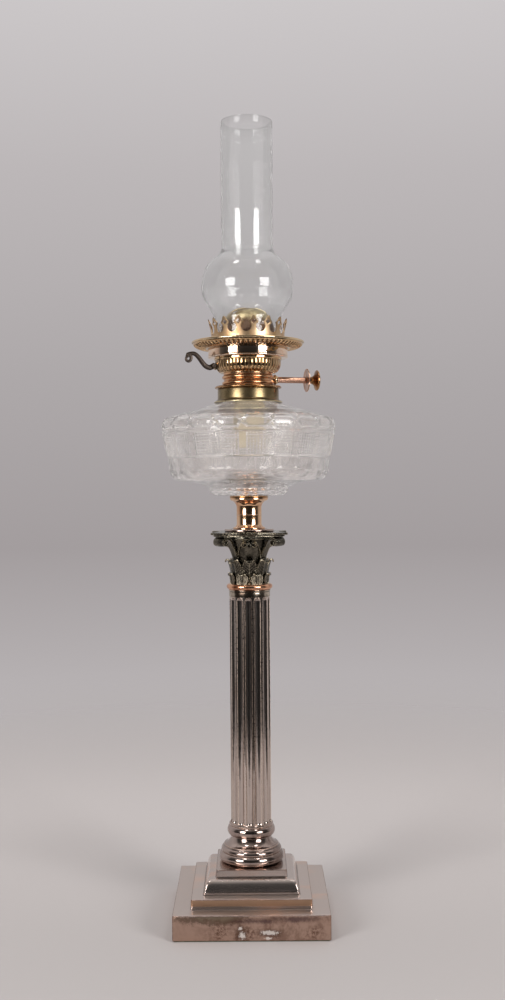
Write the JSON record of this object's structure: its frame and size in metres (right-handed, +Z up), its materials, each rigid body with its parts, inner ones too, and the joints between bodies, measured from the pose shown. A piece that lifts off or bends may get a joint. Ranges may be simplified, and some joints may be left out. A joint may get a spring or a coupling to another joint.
{
  "type": "table kerosene lamp",
  "caption": "Corinthian column oil lamp with stepped base, cut glass font, twin wick burner, winders, extinguisher lever, gallery and tall bulged chimney.",
  "frame": {"origin": "middle of the base, on the table", "axes": "+Z up the lamp axis, +X to the winder side and -Y to the front, square to the base"},
  "size_m": [0.1638, 0.1638, 0.7487],
  "materials": {
    "silver_plate": "worn silver plate over copper",
    "silver_plate_dark": "tarnished silver plate",
    "copper": "polished red brass",
    "brass": "polished",
    "old_brass": "pale greenish brass",
    "pale_brass": "pale satin",
    "dark_brass": "browned",
    "dark_iron": "oil blackened",
    "steel": "plain",
    "cast_iron": "as cast",
    "wood": "oiled",
    "baize": "felt",
    "cotton": "woven cotton",
    "cut_glass": "cut and polished",
    "chimney_glass": "clear"
  },
  "bodies": {
    "stand": {"baize_pad": "baize", "base_board": "wood", "board_screws": "brass", "base_weight": "cast_iron", "base_shell": "silver_plate", "tie_rod": "steel", "tie_nuts": "brass", "tie_washer": "steel", "column_foot": "silver_plate", "fluted_shaft": "silver_plate_dark", "neck_ring": "copper", "capital_bell": "silver_plate_dark", "lower_leaves": "silver_plate_dark", "upper_leaves": "silver_plate_dark", "corner_volutes": "silver_plate_dark", "helices": "silver_plate_dark", "fleurons": "silver_plate_dark", "abacus": "silver_plate_dark", "cap_disc": "silver_plate", "font_socket": "copper"},
    "font": {"font_ferrule": "old_brass", "glass_font": "cut_glass", "font_collar": "old_brass"},
    "burner": {"burner_base": "copper", "burner_neck": "copper", "burner_bowl": "brass", "burner_drum": "brass", "air_plate": "brass", "wick_tubes": "brass", "winder_bush": "brass", "winder_frame": "brass", "lever_bracket": "brass", "lever_pivot": "dark_iron", "catch_pivot": "brass"},
    "outer_winder": {"winder_sleeve": "old_brass", "winder_disc": "old_brass"},
    "inner_winder": {"winder_spindle": "old_brass", "winder_knob": "old_brass"},
    "front_feed": {"feed_shaft_front": "old_brass"},
    "back_feed": {"feed_shaft_back": "old_brass"},
    "front_wick": {"wick_front": "cotton"},
    "back_wick": {"wick_back": "cotton"},
    "lever": {"extinguisher_lever": "dark_iron"},
    "snuffer": {"snuffer_sleeves": "brass"},
    "gallery": {"gallery_dish": "brass", "gallery_crown": "brass", "deflector_dome": "pale_brass"},
    "catch": {"gallery_catch": "dark_brass"},
    "chimney": {"chimney_glass": "chimney_glass"}
  },
  "joints": [
    {"name": "font_lift", "type": "slide", "parent": "stand", "child": "font", "axis": [0, 0, 1], "range_m": [0, 0.02]},
    {"name": "burner_lift", "type": "slide", "parent": "font", "child": "burner", "axis": [0, 0, 1], "range_m": [0, 0.06]},
    {"name": "gallery_lift", "type": "slide", "parent": "burner", "child": "gallery", "axis": [0, 0, 1], "range_m": [0, 0.03]},
    {"name": "chimney_lift", "type": "slide", "parent": "gallery", "child": "chimney", "axis": [0, 0, 1], "range_m": [0, 0.06]},
    {"name": "outer_winder_turn", "type": "hinge", "parent": "burner", "child": "outer_winder", "pos_m": [0, 0, 0.5064], "axis": [0.9744, 0.225, 0], "range_deg": [-163, 81]},
    {"name": "inner_winder_turn", "type": "hinge", "parent": "burner", "child": "inner_winder", "pos_m": [0, 0, 0.5064], "axis": [0.9744, 0.225, 0], "range_deg": [-81, 163]},
    {"name": "front_feed_turn", "type": "hinge", "parent": "burner", "child": "front_feed", "pos_m": [0.00112, -0.00487, 0.5064], "axis": [0.9744, 0.225, 0], "range_deg": [-82, 164]},
    {"name": "back_feed_turn", "type": "hinge", "parent": "burner", "child": "back_feed", "pos_m": [-0.00112, 0.00487, 0.5064], "axis": [0.9744, 0.225, 0], "range_deg": [-164, 82]},
    {"name": "front_wick_slide", "type": "slide", "parent": "burner", "child": "front_wick", "axis": [0, 0, 1], "range_m": [-0.008, 0.004]},
    {"name": "back_wick_slide", "type": "slide", "parent": "burner", "child": "back_wick", "axis": [0, 0, 1], "range_m": [-0.008, 0.004]},
    {"name": "lever_turn", "type": "hinge", "parent": "burner", "child": "lever", "pos_m": [-0.03235, -0.00747, 0.5188], "axis": [0.225, -0.9744, 0], "range_deg": [0, 24]},
    {"name": "snuffer_slide", "type": "slide", "parent": "burner", "child": "snuffer", "axis": [0, 0, 1], "range_m": [0, 0.0066]},
    {"name": "catch_turn", "type": "hinge", "parent": "burner", "child": "catch", "pos_m": [0.02254, -0.03047, 0.5317], "axis": [0.5948, -0.8039, 0], "range_deg": [-25, 0]}
  ],
  "couplings": [
    {"joint": "front_feed_turn", "follows": "outer_winder_turn", "ratio": -1},
    {"joint": "front_wick_slide", "follows": "outer_winder_turn", "m_per_rad": 0.0028},
    {"joint": "back_feed_turn", "follows": "inner_winder_turn", "ratio": -1},
    {"joint": "back_wick_slide", "follows": "inner_winder_turn", "m_per_rad": -0.0028},
    {"joint": "snuffer_slide", "follows": "lever_turn", "m_per_rad": 0.015518}
  ]
}
